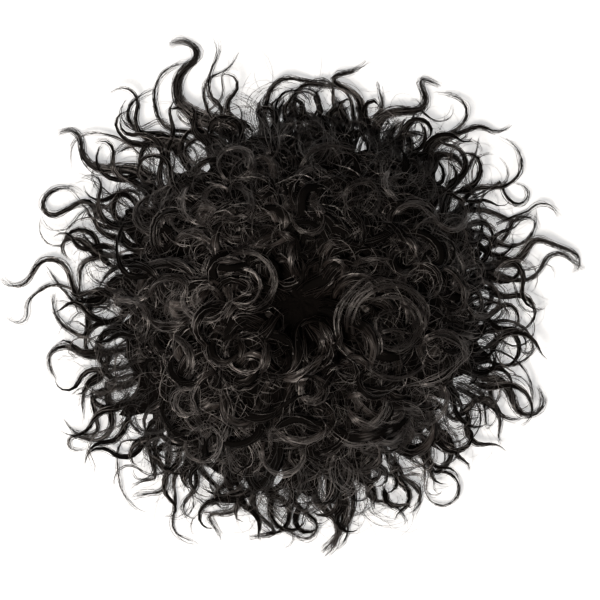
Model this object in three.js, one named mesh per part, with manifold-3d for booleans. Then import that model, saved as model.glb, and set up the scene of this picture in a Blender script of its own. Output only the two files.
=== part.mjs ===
// Hair patch: curly hair on a shallow oval cap base, lying on a table with its locks spread out
import * as THREE from "three";
import { mergeVertices } from "three/addons/utils/BufferGeometryUtils.js";
import Module from "manifold-3d";

const wasm = await Module();
wasm.setup();

// Cap base, in millimetres
const baseLength = 178;
const baseWidth = 158;
const baseHeight = 41;
const baseWall = 1.4;
const baseClearance = 0.3;
const baseFullnessPower = 0.8;

// Body of hair over the base
const bodyRadius = 116;
const bodyHeight = 66;
const bodyEdgeHeight = 11;
const bodyLump = 2.2;

// Curls and locks
const curlRadius = 11.6;
const curlWidth = 9;
const curlProud = 6.5;
const curlSunk = 4.5;
const curlSweepDegrees = 330;
const curlClosingShare = 0.5;
const curlTaperShare = 0.4;
const curlEndSunk = 0.5;
const curlTurnDegrees = 97;
const lockWidth = 9.4;
const lockFlatnessShare = 0.66;
const lockLift = 11;
const lockFallShare = 0.3;
const tipShare = 0.16;
const taperPower = 1.15;
const tableGap = 0.2;
const rootDepthShare = 0.14;

// How finely round things are stepped
const baseSteps = 32;
const bodySteps = 32;
const baseRows = 6;
const turnStepDegrees = 44;
const straightStep = 25;
const ringSteps = 7;
const lockSides = 4;

// Outline of the body seen from above: how far it reaches, as a share of bodyRadius, on evenly spaced
// bearings counterclockwise from +X
const bodyReach = [
  0.95, 0.97, 0.96, 0.92, 0.92, 0.91, 0.96, 1.0,
  0.97, 1.0, 1.05, 0.99, 1.0, 1.02, 0.92, 1.0,
];

// Section of the body from the crown outwards: share of the reach, and share of the height above the edge
const bodyProfile = [
  { out: 0, rise: 0.8 },
  { out: 0.1, rise: 0.85 },
  { out: 0.22, rise: 0.97 },
  { out: 0.36, rise: 1.0 },
  { out: 0.52, rise: 0.93 },
  { out: 0.67, rise: 0.78 },
  { out: 0.81, rise: 0.55 },
  { out: 0.92, rise: 0.28 },
  { out: 1, rise: 0 },
];

// Ring curls that stand out on the crown: centre as shares of bodyRadius, size as a share of curlRadius,
// start as the bearing of the ring's root, and spin 1 where it turns counterclockwise
const crownCurls = [
  { across: -0.32, up: 0.68, size: 1.0, start: 200, spin: 1 },
  { across: -0.48, up: 0.44, size: 1.2, start: 40, spin: 1 },
  { across: -0.28, up: 0.08, size: 1.1, start: 100, spin: -1 },
  { across: -0.46, up: 0.02, size: 1.2, start: 250, spin: 1 },
  { across: -0.25, up: -0.26, size: 1.05, start: 60, spin: -1 },
  { across: 0.42, up: -0.02, size: 1.7, start: 150, spin: -1 },
  { across: 0.04, up: 0.4, size: 1.05, start: 300, spin: 1 },
  { across: -0.5, up: -0.68, size: 1.05, start: 90, spin: 1 },
  { across: -0.1, up: -0.54, size: 1.1, start: 20, spin: -1 },
  { across: 0.74, up: 0.44, size: 1.1, start: 180, spin: 1 },
  { across: 0.9, up: 0.0, size: 1.0, start: 120, spin: -1 },
];

// Rounds of plainer curls that fill the crown between those
const curlRounds = [
  { out: 0.16, count: 3, turn: 60, size: 1 },
  { out: 0.37, count: 5, turn: 15, size: 1.3 },
  { out: 0.6, count: 8, turn: 40, size: 1.4 },
  { out: 0.8, count: 10, turn: 10, size: 1.4 },
  { out: 0.95, count: 12, turn: 22, size: 1.1 },
];

// Loose locks round the edge. Root as shares of bodyRadius, aim as a bearing in degrees, width as a share
// of lockWidth, lift as a share of lockLift, and bends from root to tip: degrees turned counterclockwise
// over a length that is a share of curlRadius
const locks = [
  { across: -0.32, up: 0.755, aim: 112, width: 1, lift: 0.5,
    bends: [[55, 1.65], [-18, 1.15], [-110, 2.7], [0, 0.45], [75, 0.6], [110, 1.7]] },
  { across: -0.45, up: 0.75, aim: 108, width: 0.36, lift: 0.2,
    bends: [[72, 1.7], [0, 0.4], [-60, 0.9], [-35, 1.6], [-105, 2.9]] },
  { across: -0.62, up: 0.77, aim: 118, width: 0.43, lift: 0.3,
    bends: [[62, 1.3], [0, 0.4], [-140, 2.3], [-30, 1.2]] },
  { across: -0.3, up: 0.8, aim: 98, width: 0.32, lift: 0.7,
    bends: [[55, 1.4], [-80, 2], [-8, 1], [60, 1.1]] },
  { across: -0.74, up: 0.54, aim: 92, width: 1, lift: 0.6,
    bends: [[90, 1.8], [0, 1.1], [-88, 1.8], [0, 0.3], [131, 1.6]] },
  { across: -0.64, up: 0.77, aim: 175, width: 0.75, lift: 0.3, bends: [[8, 1.6], [38, 1.4]] },
  { across: -0.98, up: 0.4, aim: 105, width: 0.5, lift: 0.6,
    bends: [[0, 0.6], [105, 0.9], [0, 1.2], [-150, 1.4], [-110, 2.2]] },
  { across: -0.95, up: 0.22, aim: 190, width: 0.45, lift: 0.3, bends: [[0, 0.9], [78, 1], [5, 1.7]] },
  { across: -1.04, up: 0, aim: 108, width: 0.5, lift: 0.5,
    bends: [[0, 1.6], [132, 2.1], [0, 0.5], [-125, 1.9]] },
  { across: -1.0, up: 0.03, aim: -98, width: 0.6, lift: 0.5,
    bends: [[8, 1.9], [-107, 0.4], [-30, 1.3], [-58, 1.6]] },
  { across: -0.94, up: -0.26, aim: 191, width: 0.68, lift: 0.4,
    bends: [[0, 1], [-45, 0.5], [0, 0.3], [50, 1], [85, 1], [25, 0.9]] },
  { across: -0.88, up: -0.43, aim: 185, width: 0.6, lift: 0.2, bends: [[22, 2.2]] },
  { across: -0.95, up: -0.4, aim: -86, width: 0.68, lift: 0.5,
    bends: [[10, 1.9], [-125, 2], [0, 0.5], [215, 1.5], [0, 0.4]] },
  { across: -0.88, up: -0.52, aim: -82, width: 0.4, lift: 0.3, bends: [[55, 2.1]] },
  { across: -0.65, up: -0.7, aim: -94, width: 0.45, lift: 0.2, bends: [[0, 1.9], [-85, 0.9], [20, 1.2]] },
  { across: -0.5, up: -0.78, aim: 212, width: 0.4, lift: 0.3,
    bends: [[0, 1.1], [75, 1.1], [-38, 1.5], [90, 1.3], [0, 0.8]] },
  { across: -0.56, up: -0.78, aim: -52, width: 0.45, lift: 0.6,
    bends: [[-30, 1.2], [-55, 0.9], [0, 0.3], [140, 1.5]] },
  { across: -0.52, up: -0.8, aim: -65, width: 0.45, lift: 0.3,
    bends: [[20, 1.2], [0, 0.5], [-175, 1.6], [0, 0.6]] },
  { across: -0.4, up: -0.8, aim: -72, width: 0.6, lift: 0.5,
    bends: [[34, 1.3], [-145, 2.3], [0, 0.6], [125, 0.3], [0, 1.3]] },
  { across: -0.22, up: -0.86, aim: -96, width: 0.75, lift: 0.3,
    bends: [[0, 1.3], [54, 1], [0, 1], [-130, 0.3], [0, 1.2]] },
  { across: -0.04, up: -0.97, aim: -80, width: 0.32, lift: 0.6,
    bends: [[48, 1], [0, 0.5], [-175, 1.9], [0, 1]] },
  { across: 0.06, up: -0.97, aim: -46, width: 0.75, lift: 0.5, bends: [[0, 1.5], [-35, 0.5], [-60, 1.7]] },
  { across: 0.34, up: -0.85, aim: -88, width: 0.45, lift: 0.3,
    bends: [[0, 1.2], [88, 0.5], [-40, 1.3], [-65, 1]] },
  { across: 0.35, up: -0.82, aim: -42, width: 0.36, lift: 0.6,
    bends: [[32, 1.2], [-20, 1.3], [-85, 0.8], [15, 1.1]] },
  { across: 0.65, up: -0.6, aim: -48, width: 0.7, lift: 0.4,
    bends: [[0, 1.3], [-95, 1.5], [0, 0.4], [-125, 0.7], [0, 1]] },
  { across: 0.73, up: -0.55, aim: -80, width: 0.4, lift: 0.2, bends: [[90, 1], [0, 1.1]] },
  { across: 0.91, up: -0.38, aim: 0, width: 0.82, lift: 0.5,
    bends: [[-72, 1.6], [0, 0.6], [175, 2.3], [25, 0.6]] },
  { across: 0.95, up: -0.4, aim: -88, width: 0.4, lift: 0.2, bends: [[0, 0.9], [115, 2.3]] },
  { across: 0.87, up: -0.15, aim: 22, width: 0.36, lift: 0.5,
    bends: [[0, 1], [-105, 2.7], [-195, 1.2], [0, 0.4]] },
  { across: 0.92, up: -0.1, aim: 38, width: 0.45, lift: 0.7,
    bends: [[0, 1.1], [-75, 0.6], [-125, 1.6], [0, 0.5]] },
  { across: 0.86, up: 0.19, aim: -33, width: 0.5, lift: 0.3,
    bends: [[18, 2.3], [78, 1.6], [0, 0.4], [-105, 1.3], [12, 1.1]] },
  { across: 0.92, up: 0.18, aim: -6, width: 0.75, lift: 0.6,
    bends: [[0, 0.9], [66, 1.2], [0, 0.6], [-78, 0.7], [0, 1.7], [-140, 1.3]] },
  { across: 0.88, up: 0.34, aim: -27, width: 0.45, lift: 0.4, bends: [[0, 1.3], [125, 2.7], [0, 0.5]] },
  { across: 0.82, up: 0.45, aim: 8, width: 0.6, lift: 0.2, bends: [[-32, 1.7], [0, 0.5], [90, 1.5]] },
  { across: 0.78, up: 0.44, aim: 56, width: 0.36, lift: 0.6,
    bends: [[0, 1], [-55, 0.8], [0, 0.8], [150, 3.3], [0, 0.5]] },
  { across: 0.73, up: 0.52, aim: 50, width: 0.4, lift: 0.2, bends: [[0, 1.2], [33, 2.2]] },
  { across: 0.64, up: 0.73, aim: 42, width: 0.6, lift: 0.5,
    bends: [[-20, 1.2], [0, 1.3], [-52, 0.7], [75, 1.4]] },
  { across: 0.62, up: 0.75, aim: 33, width: 0.32, lift: 0.8, bends: [[0, 1.6], [140, 2.1], [0, 0.8]] },
  { across: 0.38, up: 0.73, aim: 98, width: 1, lift: 0.5,
    bends: [[0, 0.8], [-95, 1.9], [0, 1], [110, 1], [0, 0.7], [-140, 0.45], [0, 0.9]] },
  { across: 0.24, up: 0.88, aim: 8, width: 0.45, lift: 0.3, bends: [[0, 1], [95, 1.4], [0, 1]] },
  { across: 0.31, up: 0.84, aim: 90, width: 0.68, lift: 0.5,
    bends: [[0, 1], [65, 1.4], [0, 0.7], [-140, 0.5], [0, 0.9], [35, 1]] },
  { across: -0.04, up: 0.9, aim: 84, width: 0.4, lift: 0.2,
    bends: [[0, 1.1], [-90, 1.2], [0, 1.9], [-80, 0.7]] },
  { across: -0.19, up: 0.87, aim: 78, width: 0.45, lift: 0.6, bends: [[0, 1.5], [-88, 1.7], [4, 2.6]] },
];

const radians = THREE.MathUtils.degToRad;

// Solids are joined and cut with their shared corners merged and the slivers at the poles left out
function toSolid(geometry) {
  const bare = geometry.clone();
  bare.deleteAttribute("normal");
  bare.deleteAttribute("uv");
  const merged = mergeVertices(bare);
  const corners = merged.index.array;
  const kept = [];
  for (let i = 0; i < corners.length; i += 3) {
    const [a, b, c] = corners.slice(i, i + 3);
    if (a !== b && b !== c && c !== a) kept.push(a, b, c);
  }
  const mesh = new wasm.Mesh({
    numProp: 3,
    vertProperties: new Float32Array(merged.attributes.position.array),
    triVerts: new Uint32Array(kept),
  });
  return new wasm.Manifold(mesh);
}

function toGeometry(solid) {
  const mesh = solid.getMesh();
  const geometry = new THREE.BufferGeometry();
  geometry.setAttribute("position", new THREE.BufferAttribute(mesh.vertProperties, 3));
  geometry.setIndex(new THREE.BufferAttribute(mesh.triVerts, 1));
  geometry.computeVertexNormals();
  return geometry;
}

// Small pockets closed in between crossing curls are filled: they are the shells that enclose no solid
function fillPockets(solid) {
  const shells = solid.decompose().filter((shell) => shell.volume() > 0);
  return shells.reduce((whole, shell) => whole.add(shell));
}

// Oval dome standing on z = 0, with a straight skirt below that for cutting
function dome(halfLength, halfWidth, height, skirt) {
  const outline = [new THREE.Vector2(0, -skirt)];
  if (skirt > 0) outline.push(new THREE.Vector2(1, -skirt));
  for (let i = 0; i <= baseRows; i++) {
    const angle = (i / baseRows) * Math.PI / 2;
    outline.push(new THREE.Vector2(Math.cos(angle) ** baseFullnessPower, height * Math.sin(angle)));
  }
  outline[outline.length - 1].x = 0;
  const shape = new THREE.LatheGeometry(outline, baseSteps);
  shape.rotateX(Math.PI / 2);
  shape.scale(halfLength, halfWidth, 1);
  return shape;
}

// How far the body reaches on a bearing, smoothed between the table's rows
function reachAt(bearing) {
  const count = bodyReach.length;
  const place = THREE.MathUtils.euclideanModulo(bearing / (2 * Math.PI), 1) * count;
  const row = Math.floor(place) % count;
  const blend = (1 - Math.cos((place - Math.floor(place)) * Math.PI)) / 2;
  return bodyRadius * THREE.MathUtils.lerp(bodyReach[row], bodyReach[(row + 1) % count], blend);
}

function lumpAt(out, bearing) {
  const fade = Math.sin(Math.PI * Math.min(out, 1));
  return bodyLump * fade * (Math.sin(7 * bearing + 9 * out) + Math.sin(4 * bearing - 14 * out));
}

// Height of the body's upper surface over a point
function bodyTop(x, y) {
  const bearing = Math.atan2(y, x);
  const out = Math.min(Math.hypot(x, y) / reachAt(bearing), 1);
  const last = bodyProfile.length - 1;
  const row = Math.min(bodyProfile.findLastIndex((entry) => entry.out <= out), last - 1);
  const inner = bodyProfile[row];
  const outer = bodyProfile[row + 1];
  const rise = THREE.MathUtils.mapLinear(out, inner.out, outer.out, inner.rise, outer.rise);
  return bodyEdgeHeight + (bodyHeight - bodyEdgeHeight) * rise + lumpAt(out, bearing);
}

function makeBody() {
  const outline = [new THREE.Vector2(0, 0), new THREE.Vector2(1, 0)];
  for (const row of [...bodyProfile].reverse()) outline.push(new THREE.Vector2(row.out, 1));
  const shape = new THREE.LatheGeometry(outline, bodySteps);
  shape.rotateX(Math.PI / 2);
  const spots = shape.attributes.position;
  for (let i = 0; i < spots.count; i++) {
    const out = Math.hypot(spots.getX(i), spots.getY(i));
    const bearing = Math.atan2(spots.getY(i), spots.getX(i));
    const x = out * reachAt(bearing) * Math.cos(bearing);
    const y = out * reachAt(bearing) * Math.sin(bearing);
    const z = spots.getZ(i) > 0.5 ? bodyTop(x, y) : 0;
    spots.setXYZ(i, x, y, z);
  }
  return shape;
}

// A lock is a closed cylinder bent along its stations, each with its place, heading and half sizes
function bendTube(stations) {
  const steps = stations.length - 1;
  const tube = new THREE.CylinderGeometry(1, 1, 1, lockSides, steps);
  const spots = tube.attributes.position;
  for (let i = 0; i < spots.count; i++) {
    const station = stations[Math.round((0.5 - spots.getY(i)) * steps)];
    const aside = spots.getX(i) * station.halfWidth;
    const x = station.x - Math.sin(station.heading) * aside;
    const y = station.y + Math.cos(station.heading) * aside;
    const z = station.z + spots.getZ(i) * station.halfDepth;
    spots.setXYZ(i, x, y, z);
  }
  return tube;
}

function taper(along) {
  return tipShare + (1 - tipShare) * (1 - along) ** taperPower;
}

// Stations of one loose lock: it leaves the body near the table, arches by its lift and lies down at its tip
function lockStations(lock) {
  const stations = [];
  let heading = radians(lock.aim);
  let x = lock.across * bodyRadius;
  let y = lock.up * bodyRadius;
  const buried = 1 - rootDepthShare;
  stations.push({ x: x * buried, y: y * buried, heading: Math.atan2(y, x) });
  stations.push({ x, y, heading });
  for (const [turn, share] of lock.bends) {
    const turnSteps = Math.round(Math.abs(turn) / turnStepDegrees);
    const lengthSteps = Math.round((share * curlRadius) / straightStep);
    const steps = Math.max(1, turnSteps, lengthSteps);
    const length = (share * curlRadius) / steps;
    const swing = radians(turn) / steps;
    for (let i = 0; i < steps; i++) {
      x += Math.cos(heading + swing / 2) * length;
      y += Math.sin(heading + swing / 2) * length;
      heading += swing;
      stations.push({ x, y, heading });
    }
  }
  const last = stations.length - 1;
  stations.forEach((station, i) => {
    const along = i / last;
    station.halfWidth = (lock.width * lockWidth * taper(along)) / 2;
    station.halfDepth = station.halfWidth * lockFlatnessShare;
    const fall = (bodyEdgeHeight / 2) * Math.max(0, 1 - along / lockFallShare);
    const arch = lock.lift * lockLift * Math.sin(Math.PI * along) ** 2;
    station.z = Math.max(station.halfDepth + tableGap, fall) + arch;
  });
  return stations;
}

// Stations of one ring curl on the crown, wound inwards over a turn and a bit with both ends sunk
function curlStations(centreX, centreY, size, start, spin) {
  const stations = [];
  for (let i = 0; i <= ringSteps; i++) {
    const along = i / ringSteps;
    const angle = radians(start + spin * curlSweepDegrees * along);
    const radius = size * curlRadius * (1 - curlClosingShare * along);
    const x = centreX + radius * Math.cos(angle);
    const y = centreY + radius * Math.sin(angle);
    const halfWidth = (curlWidth / 2) * (1 - curlTaperShare * along);
    const proud = curlProud * Math.sin(Math.PI * along) - curlEndSunk;
    const halfDepth = (proud + curlSunk) / 2;
    const heading = angle + spin * Math.PI / 2;
    stations.push({ x, y, z: bodyTop(x, y) + proud - halfDepth, heading, halfWidth, halfDepth });
  }
  return stations;
}

function makeHair() {
  let hair = toSolid(makeBody());
  for (const curl of crownCurls) {
    const x = curl.across * bodyRadius;
    const y = curl.up * bodyRadius;
    const stations = curlStations(x, y, curl.size, curl.start, curl.spin);
    hair = hair.add(toSolid(bendTube(stations)));
  }
  for (const round of curlRounds) {
    for (let i = 0; i < round.count; i++) {
      const bearing = radians(round.turn + (360 * i) / round.count);
      const reach = round.out * reachAt(bearing);
      const x = reach * Math.cos(bearing);
      const y = reach * Math.sin(bearing);
      const stations = curlStations(x, y, round.size, i * curlTurnDegrees, i % 2 ? 1 : -1);
      hair = hair.add(toSolid(bendTube(stations)));
    }
  }
  for (const lock of locks) hair = hair.add(toSolid(bendTube(lockStations(lock))));
  const hollow = dome(
    baseLength / 2 + baseClearance, baseWidth / 2 + baseClearance, baseHeight + baseClearance, lockWidth,
  );
  const room = 4 * bodyRadius;
  const table = new THREE.BoxGeometry(room, room, lockWidth).translate(0, 0, -lockWidth / 2);
  return toGeometry(fillPockets(hair.subtract(toSolid(hollow)).subtract(toSolid(table))));
}

function makeBase() {
  const outside = toSolid(dome(baseLength / 2, baseWidth / 2, baseHeight, 0));
  const inside = toSolid(
    dome(baseLength / 2 - baseWall, baseWidth / 2 - baseWall, baseHeight - baseWall, lockWidth),
  );
  return toGeometry(outside.subtract(inside));
}

const hairPatch = new THREE.Group();

const hairFinish = new THREE.MeshStandardMaterial({ color: 0x1f1a17, roughness: 0.45, metalness: 0 });
const hair = new THREE.Mesh(makeHair(), hairFinish);
hair.name = "hair";
hairPatch.add(hair);

const baseFinish = new THREE.MeshStandardMaterial({ color: 0x2a2320, roughness: 0.9, metalness: 0 });
const base = new THREE.Mesh(makeBase(), baseFinish);
base.name = "base";
hairPatch.add(base);

export default hairPatch;
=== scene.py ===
import math

import bpy
import numpy as np
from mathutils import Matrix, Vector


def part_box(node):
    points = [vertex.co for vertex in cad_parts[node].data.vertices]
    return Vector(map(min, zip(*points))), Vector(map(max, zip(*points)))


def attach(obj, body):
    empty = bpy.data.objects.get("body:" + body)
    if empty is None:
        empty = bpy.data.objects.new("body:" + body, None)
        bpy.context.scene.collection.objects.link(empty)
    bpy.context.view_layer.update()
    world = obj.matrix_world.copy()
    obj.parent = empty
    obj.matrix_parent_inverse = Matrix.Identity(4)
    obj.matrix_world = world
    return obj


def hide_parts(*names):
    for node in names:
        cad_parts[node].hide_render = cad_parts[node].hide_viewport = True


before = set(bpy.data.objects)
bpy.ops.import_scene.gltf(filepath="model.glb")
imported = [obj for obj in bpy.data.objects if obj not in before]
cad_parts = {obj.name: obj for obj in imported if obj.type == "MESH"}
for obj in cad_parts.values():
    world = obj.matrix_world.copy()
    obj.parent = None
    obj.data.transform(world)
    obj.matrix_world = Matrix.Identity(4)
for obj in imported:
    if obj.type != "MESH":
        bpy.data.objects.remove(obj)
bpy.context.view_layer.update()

# Camera
# The patch is seen from straight above, with its far side at the top of the picture. A long lens from
# well above keeps the loose locks on the table and the crown at nearly the same scale.
camera_height = 2.4
table_in_view = 0.348
sensor_width = 36.0

scene = bpy.context.scene
camera_data = bpy.data.cameras.new("camera")
camera_data.sensor_width = sensor_width
camera_data.lens = sensor_width * camera_height / table_in_view
camera = bpy.data.objects.new("camera", camera_data)
camera.location = (0, 0, camera_height)
scene.collection.objects.link(camera)
scene.camera = camera

# Cap base
# The hair is knotted to a shallow oval cap of fine dark net. Only its underside can be seen, from below.
# It is a matt knitted net with small six-sided holes, so it gets a fine cell pattern in colour and relief.
net_cell = 0.0016
net_thread_edge = 0.06
net_hole_edge = 0.2
net_relief = 0.0004
net_relief_strength = 0.6
net_roughness = 0.85
net_dark = (0.012, 0.01, 0.009, 1)
net_light = (0.06, 0.047, 0.04, 1)


def add_node(tree, kind, inputs=None, **settings):
    """A node with its settings and with fixed values on its inputs."""
    node = tree.nodes.new(kind)
    for name, value in settings.items():
        setattr(node, name, value)
    for name, value in (inputs or {}).items():
        node.inputs[name].default_value = value
    return node


def add_ramp(tree, low, low_colour, high, high_colour):
    """Colours that run from one at low to the other at high."""
    ramp = add_node(tree, "ShaderNodeValToRGB")
    first, last = ramp.color_ramp.elements
    first.position, last.position = low, high
    first.color, last.color = low_colour, high_colour
    return ramp


def wire(tree, *wires):
    """Joins an output of one node to an input of another."""
    for source, output, target, entry in wires:
        tree.links.new(source.outputs[output], target.inputs[entry])


def new_material(name, inputs):
    """A material with fixed values on its shader's inputs."""
    material = bpy.data.materials.new(name)
    material.use_nodes = True
    shader = material.node_tree.nodes["Principled BSDF"]
    for key, value in inputs.items():
        shader.inputs[key].default_value = value
    return material, material.node_tree, shader


def make_net_material():
    material, tree, shader = new_material("cap net", {"Roughness": net_roughness})
    place = add_node(tree, "ShaderNodeTexCoord")
    cells = add_node(tree, "ShaderNodeTexVoronoi", {"Scale": 1 / net_cell}, feature="DISTANCE_TO_EDGE")
    thread = add_ramp(tree, net_thread_edge, net_light, net_hole_edge, net_dark)
    depth = {"Strength": net_relief_strength, "Distance": net_relief}
    relief = add_node(tree, "ShaderNodeBump", depth, invert=True)
    wire(
        tree,
        (place, "Object", cells, "Vector"),
        (cells, "Distance", thread, "Fac"),
        (cells, "Distance", relief, "Height"),
        (thread, "Color", shader, "Base Color"),
        (relief, "Normal", shader, "Normal"),
    )
    return material


cap_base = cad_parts["base"]
cap_base.data.materials.clear()
cap_base.data.materials.append(make_net_material())

# Under-hair
# Below the curls lies a close dark layer of hair, springing from the knots of the cap. It is a lumpy shell
# over the cap, hollow underneath and ragged at its rim, that the curls hide nearly everywhere. Its dull,
# near-black colour is partly painted shade: it stands for the shade in the gaps between the curls.
body_radius = 0.116
body_height = 0.066
body_edge_height = 0.011
body_reach = [0.95, 0.97, 0.96, 0.92, 0.92, 0.91, 0.96, 1.0, 0.97, 1.0, 1.05, 0.99, 1.0, 1.02, 0.92, 1.0]
body_out = [0, 0.1, 0.22, 0.36, 0.52, 0.67, 0.81, 0.92, 1]
body_rise = [0.8, 0.85, 0.97, 1.0, 0.93, 0.78, 0.55, 0.28, 0]
bed_share = 0.92
bed_depth = 0.87
bed_middle = 0.04
bed_rim = 0.0008
bed_bearings = 200
bed_rows = 34
bed_lump = 0.0016
bed_lump_waves = ((9, 21), (5, -33))
bed_raggedness = 0.035
bed_ragged_waves = (11, 19, 31, 47)
bed_ragged_power = 6
cap_gap = 0.0012
cap_rows = 12
cap_fullness = 0.8
bed_fibres = {"Scale": 900, "Detail": 6, "Distortion": 3}
bed_fibre_start = 0.45
bed_relief = {"Strength": 0.8, "Distance": 0.001}
bed_roughness = 0.8
# The under-hair's dull, near-black colours are partly painted shade for the gaps between the curls.
bed_black = (0.0036, 0.003, 0.0027, 1)
bed_brown = (0.021, 0.017, 0.0145, 1)
_, cap_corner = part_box("base")


def reach_at(bearing):
    """How far the body reaches on a bearing, smoothed between the evenly spaced values of body_reach."""
    count = len(body_reach)
    place = (bearing / math.tau % 1) * count
    row = np.floor(place).astype(int) % count
    blend = (1 - np.cos((place - np.floor(place)) * math.pi)) / 2
    near = np.take(body_reach, row)
    far = np.take(body_reach, (row + 1) % count)
    return body_radius * (near + (far - near) * blend)


def body_top(x, y):
    """Height of the body of hair over a spot of the table."""
    out = np.clip(np.hypot(x, y) / reach_at(np.arctan2(y, x)), 0, 1)
    return body_edge_height + (body_height - body_edge_height) * np.interp(out, body_out, body_rise)


def add_piece(name, mesh, material):
    piece = bpy.data.objects.new(name, mesh)
    scene.collection.objects.link(piece)
    mesh.materials.clear()
    mesh.materials.append(material)
    return piece


def finish_hair(piece):
    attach(piece, "root")
    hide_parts("hair")


def closed_shell(name, rings, top, bottom):
    """Rings of points from the top pole over the outside and up the inside to the bottom pole."""
    count = len(rings[0])
    points = [top] + [point for ring in rings for point in ring] + [bottom]
    faces = [(0, 1 + i, 1 + (i + 1) % count) for i in range(count)]
    for row in range(len(rings) - 1):
        first = 1 + row * count
        for i in range(count):
            j = (i + 1) % count
            faces.append((first + i, first + count + i, first + count + j, first + j))
    first = 1 + (len(rings) - 1) * count
    faces += [(first + i, len(points) - 1, first + (i + 1) % count) for i in range(count)]
    mesh = bpy.data.meshes.new(name)
    mesh.from_pydata([tuple(map(float, point)) for point in points], [], faces)
    mesh.shade_smooth()
    return mesh


def make_bed_mesh():
    bearings = np.linspace(0, math.tau, bed_bearings, endpoint=False)
    ragged = bed_raggedness * sum(np.sin(bearings * waves + waves) for waves in bed_ragged_waves)
    rings = []
    for out in np.linspace(bed_middle, 1, bed_rows):
        reach = reach_at(bearings) * out * bed_share * (1 + ragged * out ** bed_ragged_power)
        x, y = reach * np.cos(bearings), reach * np.sin(bearings)
        lump = bed_lump * sum(np.sin(turns * bearings + waves * out) for turns, waves in bed_lump_waves)
        z = body_top(x, y) * bed_depth + lump * math.sin(math.pi * out)
        rings.append(np.stack([x, y, z], axis=1))
    rings.append(rings[-1] * [1, 1, 0] + [0, 0, bed_rim])
    half_length, half_width, cap_height = np.array(cap_corner) + cap_gap
    for angle in np.linspace(0, math.pi / 2, cap_rows)[:-1]:
        out = math.cos(angle) ** cap_fullness
        x, y = half_length * out * np.cos(bearings), half_width * out * np.sin(bearings)
        z = np.full_like(x, bed_rim + cap_height * math.sin(angle))
        rings.append(np.stack([x, y, z], axis=1))
    top = (0, 0, float(body_top(0, 0)) * bed_depth)
    return closed_shell("under_hair", rings, top, (0, 0, cap_height))


def make_bed_material():
    dull = {"Roughness": bed_roughness, "Specular IOR Level": 0}
    material, tree, shader = new_material("under-hair", dull)
    place = add_node(tree, "ShaderNodeTexCoord")
    fibres = add_node(tree, "ShaderNodeTexNoise", bed_fibres)
    colour = add_ramp(tree, bed_fibre_start, bed_black, 1, bed_brown)
    relief = add_node(tree, "ShaderNodeBump", bed_relief)
    wire(
        tree,
        (place, "Object", fibres, "Vector"),
        (fibres, "Fac", colour, "Fac"),
        (fibres, "Fac", relief, "Height"),
        (colour, "Color", shader, "Base Color"),
        (relief, "Normal", shader, "Normal"),
    )
    return material


finish_hair(add_piece("under_hair", make_bed_mesh(), make_bed_material()))

# Loose locks round the edge
# Locks of a few to a hundred or so hairs fall from the body onto the table and curl there in hooks, rings
# and flames, as they were set on rods. Their hairs start together and wander more toward the tip.
hair_black = (0.0056, 0.0048, 0.0043, 1)
hair_brown = (0.069, 0.051, 0.042, 1)
hair_sheen = 1.55
hair_gloss = 2.4
hair_roughness = 0.34
sheen_tint = (1, 0.93, 0.89, 1)
curl_radius = 0.0116
lock_width = 0.0122
lock_flatness = 0.66
lock_lift = 0.011
lock_shade = 0.32
lock_taper = 0.95
wide_lock_taper = 0.45
tip_share = 0.09
root_depth = 0.14
fall_share = 0.3
table_gap = 0.0004
strand_width = 0.00034
strand_sides = 3
hairs_for_full_width = 54
hairs_by_width = 1.2
fine_step = 0.001
point_spacing = 0.003
lock_softening = 6

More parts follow.
